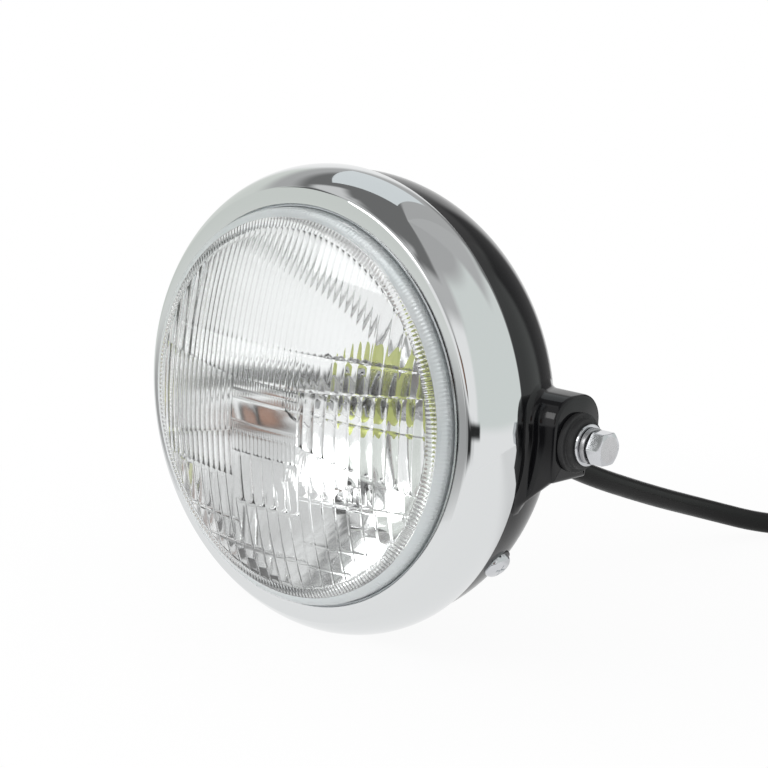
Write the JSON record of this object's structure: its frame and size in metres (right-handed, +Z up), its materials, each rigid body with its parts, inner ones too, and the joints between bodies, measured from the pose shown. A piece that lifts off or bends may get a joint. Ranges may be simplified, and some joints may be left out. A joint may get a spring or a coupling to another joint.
{
  "type": "motorcycle headlight",
  "caption": "Round motorcycle headlight: chromed rim, domed fluted glass, reflector with halogen bulb, black bucket with side ears and tilt bolts, and a sleeved cable to a plug.",
  "frame": {"origin": "where the tilt axis, the line through the two ear bolts, crosses the lamp's own axis", "axes": "the glass faces -Y, the tilt axis is X and +Z is up"},
  "size_m": [0.2749, 0.3704, 0.1868],
  "materials": {
    "black_plastic": "black moulding",
    "bolt_zinc": "bright zinc plate",
    "brass": "turned brass",
    "bucket": "glossy black moulding",
    "bulb_glass": "clear quartz",
    "bulb_metal": "pressed steel",
    "cable": "satin black sleeve",
    "chrome": "mirror chrome plate",
    "lens_glass": "clear pressed glass",
    "passivated": "yellow-green zinc passivate",
    "reflector": "vacuum-metallised and lacquered",
    "rubber": "matte black rubber",
    "spring_steel": "zinc plated",
    "tungsten": "drawn wire",
    "white_plastic": "natural nylon",
    "wire": "insulated leads"
  },
  "bodies": {
    "root": {"chrome_rim": "chrome", "front_lens": "lens_glass", "lens_seal": "rubber", "reflector": "reflector", "unit_clips": "spring_steel", "bucket": "bucket", "ear_inserts": "brass", "pivot_bushes": "rubber", "flat_washers": "bolt_zinc", "spring_washers": "bolt_zinc", "tilt_bolts": "bolt_zinc", "rim_screws": "chrome", "rim_brackets": "spring_steel", "rim_nuts": "spring_steel", "bulb_flange": "passivated", "bulb_base": "bulb_metal", "bulb_glass": "bulb_glass", "bulb_filaments": "tungsten", "dip_shield": "bulb_metal", "bulb_terminals": "brass", "bulb_connector": "white_plastic", "bulb_spring": "spring_steel", "pilot_holder": "black_plastic", "pilot_bulb": "bulb_glass", "inner_wires": "wire", "cable_grommet": "rubber", "cable_sleeve": "cable", "end_connector": "white_plastic", "connector_pins": "brass"}
  },
  "joints": []
}
